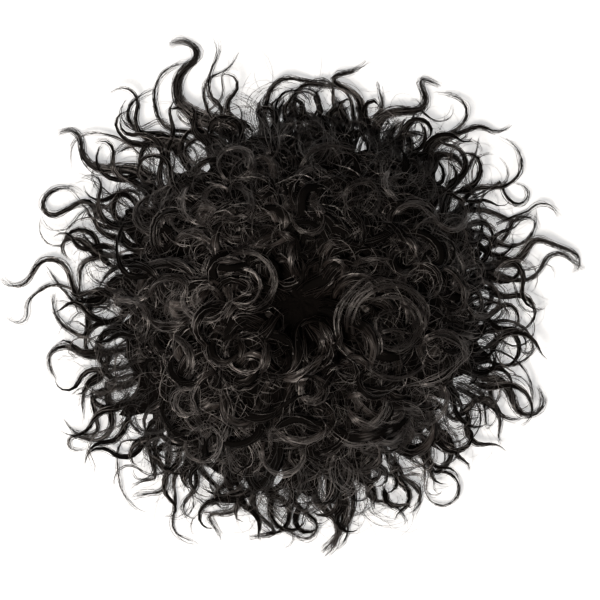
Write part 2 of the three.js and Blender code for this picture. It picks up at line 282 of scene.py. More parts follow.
# Each row is one lock: root across and up as shares of body_radius, aim in degrees, width as a share of
# lock_width, lift as a share of lock_lift, and bends from root to tip, each the degrees turned and the
# length as a share of curl_radius.
locks = [
    (-0.32, 0.785, 112, 1.5, 0.5, [(55, 1.65), (-18, 1.15), (-110, 2.7), (0, 0.45), (75, 0.6), (110, 1.7)]),
    (-0.45, 0.75, 108, 0.36, 0.2, [(72, 1.7), (0, 0.4), (-60, 0.9), (-35, 1.6), (-105, 2.9)]),
    (-0.62, 0.77, 118, 0.43, 0.3, [(62, 1.3), (0, 0.4), (-140, 2.3), (-30, 1.2)]),
    (-0.78, 0.83, 162, 0.15, 0.5, [(0, 0.5), (-125, 2.1)]),
    (-0.445, 0.91, 118, 0.22, 0.3, [(-25, 1.3), (-75, 1.2), (55, 1.6)]),
    (-0.3, 0.84, 98, 0.32, 0.7, [(55, 1.4), (-80, 2), (-8, 1), (60, 1.1)]),
    (-0.74, 0.54, 92, 1.25, 0.6, [(90, 1.8), (0, 1.1), (-88, 1.8), (0, 0.3), (131, 1.6)]),
    (-0.85, 0.775, 143, 0.13, 0.6, [(40, 2), (115, 2.3)]),
    (-0.64, 0.77, 175, 0.75, 0.3, [(8, 1.6), (38, 1.4)]),
    (-1.015, 0.42, 105, 0.5, 0.6, [(0, 0.4), (105, 0.9), (0, 1.2), (-150, 1.4), (-110, 2.2)]),
    (-0.91, 0.49, 135, 0.13, 0.4, [(0, 0.9), (45, 1.6)]),
    (-0.95, 0.435, 150, 0.12, 0.6, [(-60, 1), (0, 1.2)]),
    (-1, 0.24, 140, 0.36, 0.2, [(-20, 1.6)]),
    (-0.95, 0.22, 190, 0.45, 0.3, [(0, 0.9), (78, 1), (5, 1.7)]),
    (-1.105, -0.01, 109, 0.5, 0.5, [(0, 1.6), (132, 2.1), (0, 0.5), (-125, 1.9)]),
    (-1.1, -0.035, 138, 0.3, 0.2, [(-18, 2.6)]),
    (-1.07, 0.03, 163, 0.25, 0.4, [(-8, 1), (65, 1.4), (0, 0.5), (50, 0.7), (0, 0.3), (-160, 1.3)]),
    (-1.045, 0.01, -98, 0.6, 0.5, [(8, 1.7), (-107, 0.4), (-30, 1.3), (-58, 1.6)]),
    (-0.94, -0.26, 191, 0.68, 0.4, [(0, 1), (-45, 0.5), (0, 0.3), (50, 1), (85, 1), (25, 0.9)]),
    (-0.96, -0.36, 195, 0.36, 0.6, [(45, 1.4), (35, 0.9), (0, 0.7)]),
    (-0.88, -0.43, 185, 0.6, 0.2, [(22, 2.2)]),
    (-0.965, -0.42, -86, 0.68, 0.5, [(10, 1.7), (-125, 2), (0, 0.5), (215, 1.5), (0, 0.4)]),
    (-1.04, -0.49, -78, 0.4, 0.3, [(0, 1.5), (-85, 0.4), (-85, 1.9)]),
    (-0.88, -0.52, -82, 0.4, 0.3, [(55, 2.1)]),
    (-0.79, -0.7, 180, 0.15, 0.5, [(0, 0.8), (80, 0.5), (25, 2), (60, 2)]),
    (-0.77, -0.69, -76, 0.36, 0.4, [(0, 1.4), (25, 0.5), (-125, 0.35), (30, 1.3)]),
    (-0.655, -0.72, -94, 0.45, 0.2, [(0, 1.9), (-85, 0.9), (20, 1.2)]),
    (-0.5, -0.78, 212, 0.4, 0.3, [(0, 1.1), (75, 1.1), (-38, 1.5), (90, 1.3), (0, 0.8)]),
    (-0.56, -0.78, -52, 0.45, 0.6, [(-30, 1.2), (-55, 0.9), (0, 0.3), (140, 1.5)]),
    (-0.56, -0.76, -85, 0.45, 0.2, [(-25, 2)]),
    (-0.52, -0.8, -65, 0.45, 0.3, [(20, 1.2), (0, 0.5), (-175, 1.6), (0, 0.6)]),
    (-0.4, -0.8, -72, 0.6, 0.5, [(34, 1.3), (-145, 2.3), (0, 0.6), (125, 0.3), (0, 1.3)]),
    (-0.22, -0.86, -96, 0.75, 0.3, [(0, 1.3), (54, 1), (0, 1), (-130, 0.3), (0, 1.2)]),
    (-0.14, -0.86, -96, 0.32, 0.5, [(18, 3)]),
    (-0.01, -0.97, -114, 0.2, 0.3, [(0, 1.3), (175, 1.9)]),
    (-0.04, -0.97, -80, 0.32, 0.6, [(48, 1), (0, 0.5), (-175, 1.9), (0, 1)]),
    (0.08, -1, -46, 0.75, 0.5, [(0, 1.2), (-35, 0.5), (-60, 1.7)]),
    (0.21, -0.97, -84, 0.36, 0.3, [(10, 1.3), (-75, 1.8)]),
    (0.34, -0.85, -88, 0.45, 0.3, [(0, 1.2), (88, 0.5), (-40, 1.3), (-65, 1)]),
    (0.35, -0.82, -42, 0.36, 0.6, [(32, 1.2), (-20, 1.3), (-85, 0.8), (15, 1.1)]),
    (0.41, -0.7, -72, 0.4, 0.2, [(0, 1.9), (45, 0.5), (0, 0.8)]),
    (0.52, -0.68, -48, 0.32, 0.5, [(0, 1), (-78, 2)]),
    (0.65, -0.6, -48, 0.7, 0.4, [(0, 1.3), (-95, 1.5), (0, 0.4), (-125, 0.7), (0, 1)]),
    (0.68, -0.86, 20, 0.2, 0.5, [(-330, 4.9)]),
    (0.73, -0.55, -80, 0.4, 0.2, [(90, 1), (0, 1.1)]),
    (0.915, -0.47, -84, 0.25, 0.3, [(0, 1.6), (140, 0.3), (0, 0.3)]),
    (0.945, -0.39, 0, 0.82, 0.5, [(-72, 1.4), (0, 0.6), (175, 2.3), (25, 0.6)]),
    (0.95, -0.4, -88, 0.4, 0.2, [(0, 0.9), (115, 2.3)]),
    (0.96, -0.245, -10, 0.16, 0.6, [(-100, 4.3)]),
    (0.92, -0.29, -38, 0.36, 0.4, [(100, 3)]),
    (0.87, -0.15, 22, 0.36, 0.5, [(0, 1), (-105, 2.7), (-195, 1.2), (0, 0.4)]),
    (0.92, -0.1, 38, 0.45, 0.7, [(0, 1.1), (-75, 0.6), (-125, 1.6), (0, 0.5)]),
    (0.92, 0.12, -40, 0.6, 0.3, [(-125, 2.5)]),
    (0.87, 0.19, -33, 0.5, 0.3, [(18, 2.2), (78, 1.6), (0, 0.4), (-105, 1.3), (12, 1.1)]),
    (0.96, 0.185, -8, 0.75, 0.6, [(0, 0.5), (66, 1.2), (0, 0.6), (-78, 0.7), (0, 1.7), (-140, 1.3)]),
    (0.88, 0.34, -27, 0.45, 0.4, [(0, 1.3), (125, 2.7), (0, 0.5)]),
    (1.14, 0.445, 55, 0.2, 0.5, [(-130, 2)]),
    (0.82, 0.45, 8, 0.6, 0.2, [(-32, 1.7), (0, 0.5), (90, 1.5)]),
    (0.78, 0.44, 56, 0.36, 0.6, [(0, 1), (-55, 0.8), (0, 0.8), (150, 3.3), (0, 0.5)]),
    (1, 0.59, -75, 0.25, 0.4, [(20, 1), (255, 2.4)]),
    (0.73, 0.52, 50, 0.4, 0.2, [(0, 1.2), (33, 2.2)]),
    (0.66, 0.76, 42, 0.6, 0.5, [(-20, 1), (0, 1.3), (-52, 0.7), (75, 1.4)]),
    (0.66, 0.775, 33, 0.32, 0.8, [(0, 1.6), (140, 2.1), (0, 0.8)]),
    (0.59, 0.96, -42, 0.13, 0.5, [(0, 0.8), (150, 1.9)]),
    (0.38, 0.75, 98, 1.15, 0.5, [(0, 0.6), (-95, 1.9), (0, 1), (110, 1), (0, 0.7), (-140, 0.45), (0, 0.9)]),
    (0.24, 0.88, 8, 0.45, 0.3, [(0, 1), (95, 1.4), (0, 1)]),
    (0.31, 0.87, 90, 0.68, 0.5, [(0, 0.7), (65, 1.4), (0, 0.7), (-140, 0.5), (0, 0.9), (35, 1)]),
    (-0.04, 0.9, 84, 0.4, 0.2, [(0, 1.1), (-90, 1.2), (0, 1.9), (-80, 0.7)]),
    (-0.185, 0.89, 78, 0.45, 0.6, [(0, 1.3), (-88, 1.7), (4, 2.6)]),
    (-0.13, 0.88, 84, 0.3, 0.4, [(0, 0.9), (-130, 2), (-50, 0.9)]),
    (-0.04, 0.9, 105, 0.22, 0.6, [(0, 0.5), (-150, 1.9), (-100, 1.2)]),
    (0.06, 0.9, 60, 0.25, 0.3, [(0, 0.6), (210, 2.6)]),
    (0.2, 0.9, 118, 0.3, 0.5, [(0, 0.5), (-40, 0.8), (230, 2.6)]),
    (0.27, 0.88, 96, 0.35, 0.3, [(0, 0.9), (75, 1.5), (70, 1.3)]),
    (0.97, 0.27, 20, 0.4, 0.4, [(60, 1.2), (-170, 2.2)]),
    (0.9, -0.5, -30, 0.5, 0.3, [(0, 0.6), (-80, 1.4), (60, 0.8)]),
    (0.5, -0.85, -70, 0.35, 0.4, [(40, 1), (-150, 2)]),
    (-0.12, 0.84, 105, 0.8, 0.3, [(-50, 1.2), (40, 0.7)]),
    (0, 0.85, 80, 0.8, 0.4, [(60, 1.1), (-70, 0.7)]),
    (0.12, 0.85, 98, 0.8, 0.3, [(-60, 1.2), (60, 0.6)]),
    (0.23, 0.84, 75, 0.8, 0.4, [(50, 1.3), (20, 0.8)]),
    (0.42, 0.71, 75, 1.1, 0.4, [(-70, 2), (-40, 0.8)]),
    (-0.18, 0.83, 80, 1.1, 0.5, [(40, 0.9), (-60, 0.9)]),
    (-0.06, 0.84, 112, 1.1, 0.6, [(-70, 1.1), (-20, 0.6)]),
    (0.06, 0.84, 82, 1.1, 0.5, [(50, 0.9), (30, 0.7)]),
    (0.18, 0.83, 105, 1.1, 0.6, [(-50, 1), (-30, 0.7)]),
    (0.48, 0.72, 60, 0.9, 0.4, [(40, 1.2), (-60, 0.8)]),
    (0.52, 0.68, 45, 0.8, 0.3, [(70, 1.4), (-110, 1.2)]),
    (-0.85, 0, 255, 1, 0.3, [(-20, 1.2), (-60, 1)]),
    (0.6, 0.6, 70, 1.2, 0.5, [(0, 0.6), (-120, 2.2), (-60, 0.8)]),
    (0.44, 0.68, 92, 1.9, 0.4, [(0, 0.8), (-60, 1.6)]),
    (0.22, 0.76, 88, 1.8, 0.4, [(30, 1), (-60, 0.8)]),
    (0.05, 0.78, 95, 1.6, 0.5, [(-30, 0.9), (50, 0.7)]),
    (-0.14, 0.77, 92, 1.7, 0.4, [(40, 0.9), (-60, 0.8)]),
    (0.18, -0.9, -60, 1.2, 0.5, [(-30, 1.6), (-50, 2), (0, 0.5)]),
    (0.24, -0.9, -66, 0.6, 0.6, [(-30, 1.5), (-60, 1.8)]),
    (0, -0.82, -82, 1.3, 0.4, [(30, 1.3), (-50, 1)]),
    (0.15, -0.82, -95, 1.4, 0.4, [(25, 1.3), (-40, 0.9)]),
    (0.3, -0.76, -70, 1.2, 0.4, [(-50, 1.6)]),
    (-0.25, -0.78, -105, 1.2, 0.4, [(40, 1.5)]),
]


def pointing(bearing):
    return np.array([math.cos(bearing), math.sin(bearing)])


def unit(vectors):
    return vectors / np.linalg.norm(vectors, axis=-1, keepdims=True)


def make_guide(points, half_width, flatness, lay, hairs, shade):
    """Centre line of a lock, with the two directions and sizes that its hairs spread over."""
    tangent = unit(np.gradient(points, axis=0))
    aside = unit(np.cross(lay, tangent))
    above = np.cross(tangent, aside)
    width = half_width[:, None]
    return {
        "points": points,
        "aside": aside * width,
        "above": above * width * flatness,
        "along": np.linspace(0, 1, len(points)),
        "hairs": hairs,
        "shade": shade,
    }


def walked(path):
    """Length walked along a path up to each of its points."""
    return np.concatenate([[0], np.cumsum(np.linalg.norm(np.diff(path, axis=0), axis=1))])


def bend_path(spot, heading, bends, spacing, softening):
    """Walks a flat path through the bends in fine steps, rounds it and spaces its points evenly."""
    path = [spot]
    for turn, share in bends:
        length = share * curl_radius
        steps = max(2, round(length / fine_step))
        for step in range(steps):
            middle = heading + math.radians(turn) * (step + 0.5) / steps
            spot = spot + pointing(middle) * length / steps
            path.append(spot)
        heading += math.radians(turn)
    path = np.array(path)
    for _ in range(softening):
        path[1:-1] = path[1:-1] / 2 + (path[:-2] + path[2:]) / 4
    run = walked(path)
    even = np.linspace(0, run[-1], max(4, round(run[-1] / spacing)) + 1)
    return np.column_stack([np.interp(even, run, path[:, axis]) for axis in (0, 1)])


def edge_guide(row):
    """A loose lock: it falls from the body to the table, lies on it and lifts a little on the way."""
    across, up, aim, width, lift, bends = row
    root = np.array([across, up]) * body_radius
    path = bend_path(root, math.radians(aim), bends, point_spacing, lock_softening)
    path = np.concatenate([[root * (1 - root_depth), root * (1 - root_depth / 2)], path])
    along = np.linspace(0, 1, len(path))
    taper = tip_share + (1 - tip_share) * (1 - along) ** (lock_taper + wide_lock_taper * width)
    half_width = width * lock_width / 2 * taper
    fall = body_edge_height / 2 * np.maximum(0, 1 - along / fall_share)
    arch = lift * lock_lift * np.sin(math.pi * along) ** 2
    height = np.maximum(half_width * lock_flatness + table_gap, fall) + arch
    hairs = round(hairs_for_full_width * width ** hairs_by_width)
    points = np.column_stack([path, height])
    return make_guide(points, half_width, lock_flatness, (0, 0, 1), hairs, lock_shade)


def guides_mesh(name, guides):
    """All centre lines of a group as one mesh of edges that carries each point's spread."""
    mesh = bpy.data.meshes.new(name)
    counts = [len(guide["points"]) for guide in guides]
    starts = np.cumsum([0] + counts[:-1])
    edges = [(start + i, start + i + 1) for start, count in zip(starts, counts) for i in range(count - 1)]
    mesh.from_pydata(np.concatenate([guide["points"] for guide in guides]).tolist(), edges, [])
    for key in ("aside", "above"):
        values = np.concatenate([guide[key] for guide in guides]).astype(np.float32)
        mesh.attributes.new(key, "FLOAT_VECTOR", "POINT").data.foreach_set("vector", values.ravel())
    along = np.concatenate([guide["along"] for guide in guides]).astype(np.float32)
    mesh.attributes.new("along", "FLOAT", "POINT").data.foreach_set("value", along)
    for key, kind, number in (("hairs", "INT", np.int32), ("shade", "FLOAT", np.float32)):
        values = np.repeat([guide[key] for guide in guides], counts).astype(number)
        mesh.attributes.new(key, kind, "POINT").data.foreach_set("value", values)
    return mesh


frizz_detail = 1.5
frizz_variety = 40
root_frizz = 0.25
tip_thinning = 0.7
tip_thinning_power = 4
thinnest_strand = 0.75
strand_variety = 0.5
seed_step = 101


def hair_tree():
    """Fills every lock with hairs: copies its line, spreads, twists, frizzes and thickens the copies."""
    tree = bpy.data.node_groups.new("hairs in locks", "GeometryNodeTree")
    tree.interface.new_socket("Geometry", in_out="INPUT", socket_type="NodeSocketGeometry")
    sizes = {"Hair width": strand_width, "Frizz": 0.01, "Frizz scale": 45, "Twist": 1.6, "Shorten": 0.5}
    for name, value in sizes.items():
        socket = tree.interface.new_socket(name, in_out="INPUT", socket_type="NodeSocketFloat")
        socket.default_value = value
    tree.interface.new_socket("Seed", in_out="INPUT", socket_type="NodeSocketInt").default_value = 1
    tree.interface.new_socket("Finish", in_out="INPUT", socket_type="NodeSocketMaterial")
    tree.interface.new_socket("Geometry", in_out="OUTPUT", socket_type="NodeSocketGeometry")
    link = tree.links.new

    def add(kind, inputs=None, **settings):
        return add_node(tree, kind, inputs, **settings)

    def named(name, kind="FLOAT"):
        node = add("GeometryNodeInputNamedAttribute", {"Name": name}, data_type=kind)
        return node.outputs["Attribute"]

    def maths(operation, first, second=None):
        node = add("ShaderNodeMath", operation=operation)
        for socket, value in zip(node.inputs, (first, second)):
            if isinstance(value, (int, float)):
                socket.default_value = value
            elif value is not None:
                link(value, socket)
        return node.outputs[0]

    def scaled(vector, factor):
        node = add("ShaderNodeVectorMath", operation="SCALE")
        link(vector, node.inputs[0])
        link(factor, node.inputs["Scale"])
        return node.outputs[0]

    def summed(first, second):
        node = add("ShaderNodeVectorMath", operation="ADD")
        link(first, node.inputs[0])
        link(second, node.inputs[1])
        return node.outputs[0]

    def position():
        return add("GeometryNodeInputPosition").outputs["Position"]

    given = add("NodeGroupInput").outputs
    lines = add("GeometryNodeMeshToCurve")
    link(given["Geometry"], lines.inputs["Mesh"])
    copies = add("GeometryNodeDuplicateElements", domain="SPLINE")
    link(lines.outputs["Curve"], copies.inputs["Geometry"])
    link(named("hairs", "INT"), copies.inputs["Amount"])
    hairs = copies.outputs["Geometry"]

    index = add("GeometryNodeInputIndex").outputs["Index"]
    for number, name in enumerate(("chance_out", "chance_round", "chance_tone", "chance_length")):
        draw = add("FunctionNodeRandomValue", data_type="FLOAT")
        link(index, draw.inputs["ID"])
        link(maths("ADD", given["Seed"], number * seed_step), draw.inputs["Seed"])
        store = add("GeometryNodeStoreNamedAttribute", {"Name": name}, data_type="FLOAT", domain="CURVE")
        link(hairs, store.inputs["Geometry"])
        link(draw.outputs[1], store.inputs["Value"])
        hairs = store.outputs["Geometry"]

    out = maths("SQRT", named("chance_out"))
    own_twist = maths("SUBTRACT", named("chance_tone"), 0.5)
    twist = maths("MULTIPLY", maths("MULTIPLY", named("along"), given["Twist"]), own_twist)
    angle = maths("MULTIPLY", maths("ADD", named("chance_round"), twist), math.tau)
    spread_aside = scaled(named("aside", "FLOAT_VECTOR"), maths("MULTIPLY", out, maths("COSINE", angle)))
    spread_above = scaled(named("above", "FLOAT_VECTOR"), maths("MULTIPLY", out, maths("SINE", angle)))

    noise = add("ShaderNodeTexNoise", {"Detail": frizz_detail}, noise_dimensions="4D")
    link(position(), noise.inputs["Vector"])
    link(maths("MULTIPLY", named("chance_tone"), frizz_variety), noise.inputs["W"])
    link(given["Frizz scale"], noise.inputs["Scale"])
    centred = add("ShaderNodeVectorMath", {1: (0.5, 0.5, 0.5)}, operation="SUBTRACT")
    link(noise.outputs["Color"], centred.inputs[0])
    growing = maths("MULTIPLY", maths("ADD", named("along"), root_frizz), given["Frizz"])
    frizz = scaled(centred.outputs[0], growing)

    moved = add("GeometryNodeSetPosition")
    link(hairs, moved.inputs["Geometry"])
    link(summed(summed(spread_aside, spread_above), frizz), moved.inputs["Offset"])

    spot = add("ShaderNodeSeparateXYZ")
    link(position(), spot.inputs[0])
    over_table = add("ShaderNodeCombineXYZ")
    link(spot.outputs["X"], over_table.inputs["X"])
    link(spot.outputs["Y"], over_table.inputs["Y"])
    link(maths("MAXIMUM", spot.outputs["Z"], table_gap), over_table.inputs["Z"])
    kept_up = add("GeometryNodeSetPosition")
    link(moved.outputs["Geometry"], kept_up.inputs["Geometry"])
    link(over_table.outputs[0], kept_up.inputs["Position"])

    trimmed = add("GeometryNodeTrimCurve", mode="FACTOR")
    link(kept_up.outputs["Geometry"], trimmed.inputs["Curve"])
    cut = maths("MULTIPLY", maths("POWER", named("chance_length"), 2), given["Shorten"])
    link(maths("SUBTRACT", 1, cut), trimmed.inputs["End"])

    section = add("GeometryNodeCurvePrimitiveCircle", {"Resolution": strand_sides, "Radius": 0.5})
    tip = maths("POWER", named("along"), tip_thinning_power)
    thin = maths("SUBTRACT", 1, maths("MULTIPLY", tip, tip_thinning))
    varied = maths("ADD", maths("MULTIPLY", named("chance_tone"), strand_variety), thinnest_strand)
    tube = add("GeometryNodeCurveToMesh", {"Fill Caps": True})
    link(trimmed.outputs["Curve"], tube.inputs["Curve"])
    link(section.outputs["Curve"], tube.inputs["Profile Curve"])
    link(maths("MULTIPLY", maths("MULTIPLY", thin, varied), given["Hair width"]), tube.inputs["Scale"])
    smooth = add("GeometryNodeSetShadeSmooth")
    link(tube.outputs["Mesh"], smooth.inputs["Geometry"])
    real = add("GeometryNodeRealizeInstances")
    link(smooth.outputs["Geometry"], real.inputs["Geometry"])
    finish = add("GeometryNodeSetMaterial")
    link(real.outputs["Geometry"], finish.inputs["Geometry"])
    link(given["Finish"], finish.inputs["Material"])
    link(finish.outputs["Geometry"], add("NodeGroupOutput").inputs["Geometry"])
    return tree


hairs_in_locks = hair_tree()


def grow_hair(name, guides, sizes):
    """Runs the tree over a group of guides and keeps the result as a plain mesh."""
    source = bpy.data.objects.new(name, guides_mesh(name, guides))
    scene.collection.objects.link(source)
    modifier = source.modifiers.new("hairs", "NODES")
    modifier.node_group = hairs_in_locks
    chosen = {**sizes, "Finish": hair_finish}
    for item in hairs_in_locks.interface.items_tree:
        if item.name in chosen and item.in_out == "INPUT":
            modifier[item.identifier] = chosen[item.name]
    evaluated = source.evaluated_get(bpy.context.evaluated_depsgraph_get())
    mesh = bpy.data.meshes.new_from_object(evaluated)
    bpy.data.objects.remove(source)
    piece = bpy.data.objects.new(name, mesh)
    scene.collection.objects.link(piece)
    finish_hair(piece)


def make_hair_material():
    """Each hair's tone between black and brown is its own times its lock's shade value, which holds painted
    shade in the darker places of the crown and, on the lightest crescents, partly a painted highlight; the
    lighter ones shine more.
    """
    gloss = {"Roughness": hair_roughness, "IOR": hair_gloss, "Specular Tint": sheen_tint}
    material, tree, shader = new_material("curled hair", gloss)
    tone = add_node(tree, "ShaderNodeAttribute", attribute_name="chance_tone")
    shade = add_node(tree, "ShaderNodeAttribute", attribute_name="shade")
    mixed = add_node(tree, "ShaderNodeMath", operation="MULTIPLY")
    colour = add_ramp(tree, 0, hair_black, 1, hair_brown)
    sheen = add_node(tree, "ShaderNodeMath", {1: hair_sheen}, operation="MULTIPLY")
    wire(
        tree,
        (tone, "Fac", mixed, 0),
        (shade, "Fac", mixed, 1),
        (mixed, 0, colour, "Fac"),
        (mixed, 0, sheen, 0),
        (sheen, 0, shader, "Specular IOR Level"),
        (colour, "Color", shader, "Base Color"),
    )
    return material


hair_finish = make_hair_material()
edge_guides = [edge_guide(row) for row in locks]
half = len(edge_guides) // 2
grow_hair("edge_locks_left", edge_guides[:half], {"Seed": 11})
grow_hair("edge_locks_right", edge_guides[half:], {"Seed": 12})

# Crown curls
# Hair knotted all over the cap springs from a whorl at its middle, waves outwards and ends in rings of about
# a curl rod's size, lock over lock. Each is a loose lock of hairs. The inner and the wide ones also have a
# flat ribbon of packed hair in them, striped along its length.
whorl = np.array([0.001, -0.003])
whorl_hollow = 0.006
whorl_width = 0.015
curl_count = 390
curl_hairs = 10
curl_hair_width = 0.00029
curl_frizz = 0.011
curl_half_width = 0.0052
curl_flatness = 0.6
curl_spacing = 0.0043
curl_softening = 5
curl_brightness = 1.1
root_width = 0.45
end_narrowing = 0.6
root_sink = 0.011
root_sink_power = 1.3
curl_sunk_share = 0.35
height_softening = 2
ring_from = 0.4
slope_step = 0.004
innermost_curl = 0.05
curl_field = 0.94
curl_scatter = 0.02
golden_angle = math.radians(137.508)
random = np.random.default_rng(7)

# What one curl may have. Pairs are the least and the most, and one of curl_rounds is drawn. Lengths are
# shares of curl_radius, turns are degrees, widths are shares of curl_half_width and heights are metres.
curl_run = (0.9, 2.6)
curl_veer = 0.7
curl_first_turn = (20, 80)
curl_second_turn = (20, 70)
curl_bend_share = 0.6
curl_size = (0.5, 1.15)
curl_rounds = (0.5, 0.5, 0.75, 1.0)
curl_width = (0.6, 1.25)
curl_ride = (-0.006, 0.001)
curl_rise = (0, 0.004)
curl_slope = (0.2, 1.0)
curl_tone = (0.3, 1)
ring_unevenness = 0.35
ring_opening = 1.06
ring_closing = 0.03
shortest_bend = 0.3

# The same for the short tufts in the whorl, with their start as a share of whorl_width.
tuft_count = 14
tuft_scatter = 0.2
tuft_start = (0.9, 1.25)
tuft_bends = (((10, 60), (0.6, 1.2)), ((30, 120), (0.6, 1.0)))
tuft_veer = 0.5
tuft_width = (0.4, 0.8)
tuft_lie = {"ride_height": 0.002, "rise": 0.003, "slope": 0.2}
tuft_tone = (0.3, 0.7)

# Ribbons and cores of packed hair: width and height as shares of their lock's, and how their stripes run.
core_sides = 6
round_core = (0.62, 0.62)
flat_core = (0.56, 0.28)
ribbon_share = 0.72
ribbon_from = 0.85
core_end = 0.1
core_root_opening = 6
core_tip_closing = 4
core_map_step = 7.3
core_stripes = {"Scale": (52, 70, 1)}
core_patches = {"Scale": (1.5, 70, 1)}
core_tone_gain = 0.75
core_tone_base = 0.5
core_black_below = 0.24
core_brown_above = 0.5
core_relief = {"Strength": 1, "Distance": 0.0006}
core_sheen = 2.1
core_sheen_from = 0.25
core_roughness = 0.4

# Places in the crown with painted shade, where the curls lie in each other's shade: centre and radius as
# shares of body_radius, and the share of tone that the painted shade takes there.
painted_shade_places = [
    (-0.02, 0.04, 0.22, 0.75),
    (0.12, 0.5, 0.3, 0.5),
    (0.08, 0.85, 0.3, 0.5),
    (0.5, 0.42, 0.34, 0.65),
    (0.74, -0.27, 0.2, 0.6),
    (-0.62, -0.4, 0.22, 0.45),
    (-0.82, -0.05, 0.2, 0.4),
    (0.1, -0.62, 0.18, 0.4),
    (-0.2, -0.75, 0.16, 0.4),
]

# Rings and crescents that show on top: centre as shares of body_radius, radius as a share of curl_radius,
# bearing where the lock starts, degrees that it sweeps (counterclockwise is positive), width as a share
# of arc_width, and how light and glossy its hairs are. The lightest rows lie where bright streaks show,
# so their lighter colour is partly a painted highlight.
arc_width = 0.0056
arc_hairs = 24
arc_hair_width = 0.00028
arc_frizz = 0.013
fewest_steps = 6
arc_closing = 0.14
arc_wobble = 0.05
arc_end = 0.2
arc_end_start = 0.05
arc_ride = 0.0035
arc_arch = 0.0055
arc_level = 0.3
arc_sink = 0.006
arc_sink_power = 4
# arc_light scales every arc's tone and gloss; on the lightest rows that tone is partly a painted highlight.
arc_light = 0.8
crown_arcs = [
    (-0.31, 0.665, 0.95, 250, -380, 0.55, 0.8),
    (-0.32, 0.66, 0.75, 60, -110, 0.9, 1.1),
    (-0.46, 0.475, 1.2, 130, 150, 0.7, 1.1),
    (-0.41, 0.51, 0.55, 0, 380, 0.5, 0.7),
    (-0.325, 0.475, 0.85, 80, -210, 0.7, 0.6),
    (-0.525, 0.21, 1.15, 145, -120, 0.9, 1),
    (-0.28, 0.065, 0.45, 200, -400, 0.4, 1.1),
    (-0.28, 0.065, 0.95, 200, -400, 0.5, 1),
    (-0.265, 0.085, 1.5, 130, -250, 0.7, 0.8),
    (-0.34, 0.025, 1.65, 130, -80, 1, 1.3),
    (-0.45, 0, 1.2, 60, 400, 0.6, 0.7),
    (-0.45, 0, 0.7, 0, 380, 0.5, 0.7),
    (-0.64, 0.04, 1.5, 175, -165, 1.2, 0.65),
    (-0.64, 0.03, 0.9, 200, -250, 0.9, 0.65),
    (-0.64, 0, 1.4, 200, 130, 1.1, 0.7),
    (-0.26, -0.255, 1, 100, 410, 0.45, 1.1),
    (-0.275, -0.26, 1.3, 25, -80, 0.9, 1.3),
    (-0.04, -0.2, 1.75, 250, 100, 1.1, 1.1),
    (0.17, 0.14, 0.65, 170, -190, 0.8, 1.2),
    (0.36, -0.05, 2.5, 118, -60, 0.8, 0.5),
    (0.42, -0.11, 2.45, 215, -150, 0.7, 0.5),
    (0.43, -0.12, 2.1, 190, -200, 0.6, 0.45),
    (0.44, -0.1, 1.8, 200, -330, 0.5, 0.5),
    (0.44, -0.12, 1.5, 150, -290, 0.6, 0.4),
    (0.45, -0.13, 1.15, 80, -300, 0.6, 0.45),
    (0.44, -0.12, 0.8, 0, -330, 0.5, 0.4),
    (0.46, -0.16, 2.2, -40, -110, 0.6, 0.45),
    (0.44, -0.26, 1.2, 150, -120, 0.4, 0.6),
    (0.44, -0.11, 1.6, 30, -55, 0.6, 0.75),
    (0, -0.2, 1.5, 48, -60, 0.8, 1.1),
    (-0.02, -0.24, 1.3, 60, -70, 0.6, 1),
    (0.15, 0.19, 1.9, 150, 60, 0.9, 0.9),
    (-0.1, 0.25, 0.8, 90, -60, 0.6, 1.3),
    (0.04, 0.4, 0.85, 120, -380, 0.5, 0.7),
    (0.03, 0.39, 0.8, 65, -70, 0.6, 1.3),
    (0.06, -0.43, 0.6, 90, 370, 0.8, 0.9),
    (0.29, -0.525, 0.65, 140, -110, 0.7, 1.3),
    (0.275, -0.5, 1.45, -90, 110, 1, 1),
    (0.36, -0.49, 1.3, 195, 110, 0.8, 1.1),
    (0.25, -0.475, 1.8, -110, 80, 0.8, 0.9),
    (-0.475, -0.7, 1, 150, 390, 0.5, 0.8),
    (0.3, 0.49, 0.9, 200, -330, 0.6, 0.6),
    (0.56, 0.36, 1.15, 170, -155, 0.9, 0.8),
    (0.45, 0.19, 1.3, 65, -60, 0.9, 1.2),
    (0.175, 0.575, 1.9, 160, -110, 0.7, 0.6),
    (0.5, 0.575, 0.9, 120, 150, 0.7, 0.6),
    (-0.375, -0.475, 1.4, 100, 130, 1, 0.8),
    (-0.55, -0.5, 0.7, 30, 330, 0.7, 0.8),
    (0, -0.55, 1.5, 200, 140, 1, 0.9),
    (-0.66, -0.3, 1.3, 80, -150, 1.1, 0.8),
    (-0.7, 0.42, 1.1, 110, 160, 0.9, 0.7),
    (0.74, 0.44, 0.95, 180, 330, 0.5, 0.6),
    (0.9, 0, 0.95, 120, -370, 0.5, 0.7),
    (0.7, -0.28, 1.2, 160, -200, 0.9, 0.7),
    (0.68, 0.02, 1.4, 100, -160, 0.9, 0.7),
    (0.62, -0.5, 1.1, 60, -200, 0.8, 0.7),
    (-0.08, -0.75, 1.1, 150, 240, 0.8, 0.8),
    (0.3, -0.75, 1, 60, -260, 0.8, 0.8),
    (-0.85, -0.12, 1.2, 120, -180, 0.9, 0.8),
]


def lay_on_body(path, ride_height, rise, sunk_share, half_width):
    """Heights of a lock over the body: its root sinks in and its last turn lies on top of the others."""
    along = np.linspace(0, 1, len(path))
    sunk = root_sink * np.maximum(0, 1 - along / sunk_share) ** root_sink_power
    height = body_top(path[:, 0], path[:, 1]) + ride_height + rise * along - sunk
    height = np.maximum(height, half_width + table_gap)
    for _ in range(height_softening):
        height[1:-1] = height[1:-1] / 2 + (height[:-2] + height[2:]) / 4
    return np.column_stack([path, height])


